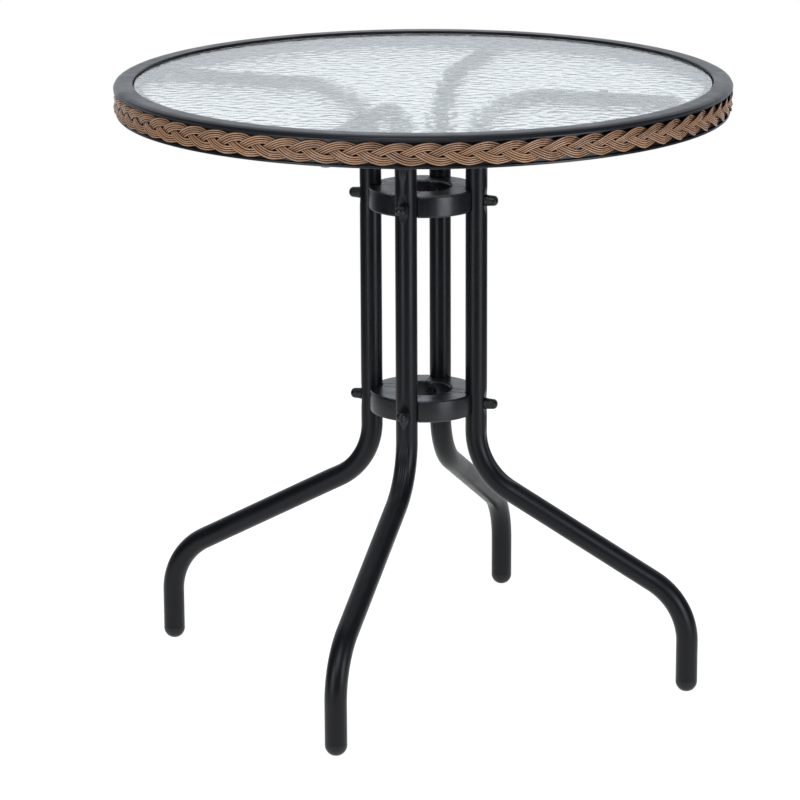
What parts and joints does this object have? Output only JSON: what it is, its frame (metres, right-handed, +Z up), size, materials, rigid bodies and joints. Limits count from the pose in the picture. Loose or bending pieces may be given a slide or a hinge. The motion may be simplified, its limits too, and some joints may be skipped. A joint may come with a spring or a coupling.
{
  "type": "garden table",
  "caption": "Round garden table: rippled glass top in a rolled rim with a plaited reed band, on bent tube legs joined by two spacer rings.",
  "frame": {"origin": "on the floor under the middle of the round top", "axes": "+Z up through the middle of the top; +X towards the right leg, +Y towards the back leg"},
  "size_m": [0.7111, 0.7112, 0.7112],
  "materials": {
    "rim_coat": "black powder coat, satin",
    "tube_coat": "black powder coat, satin",
    "reed": "extruded resin reed, tan brown, semi-matt",
    "glass": "tempered glass with a rippled underside",
    "spacer_plastic": "moulded black plastic",
    "cap_plastic": "moulded black plastic",
    "glide_plastic": "moulded black plastic",
    "fastener_steel": "zinc plated steel",
    "pad_rubber": "black rubber"
  },
  "bodies": {
    "table_frame": {"rim_frame": "rim_coat", "braid_strand_1": "reed", "braid_strand_2": "reed", "braid_strand_3": "reed", "leg_right": "tube_coat", "leg_back": "tube_coat", "leg_left": "tube_coat", "leg_front": "tube_coat", "foot_glide_right": "glide_plastic", "foot_glide_back": "glide_plastic", "foot_glide_left": "glide_plastic", "foot_glide_front": "glide_plastic", "spacer_ring_upper": "spacer_plastic", "ring_bolts_upper": "fastener_steel", "washers_upper": "fastener_steel", "cap_nuts_upper": "cap_plastic", "spacer_ring_lower": "spacer_plastic", "ring_bolts_lower": "fastener_steel", "washers_lower": "fastener_steel", "cap_nuts_lower": "cap_plastic", "rim_screws": "fastener_steel", "rim_nuts": "fastener_steel", "glass_pads": "pad_rubber"},
    "glass_top": {"glass_pane": "glass"}
  },
  "joints": [
    {"name": "glass_lift", "type": "slide", "parent": "table_frame", "child": "glass_top", "axis": [0, 0, 1], "range_m": [0, 0.05]}
  ]
}
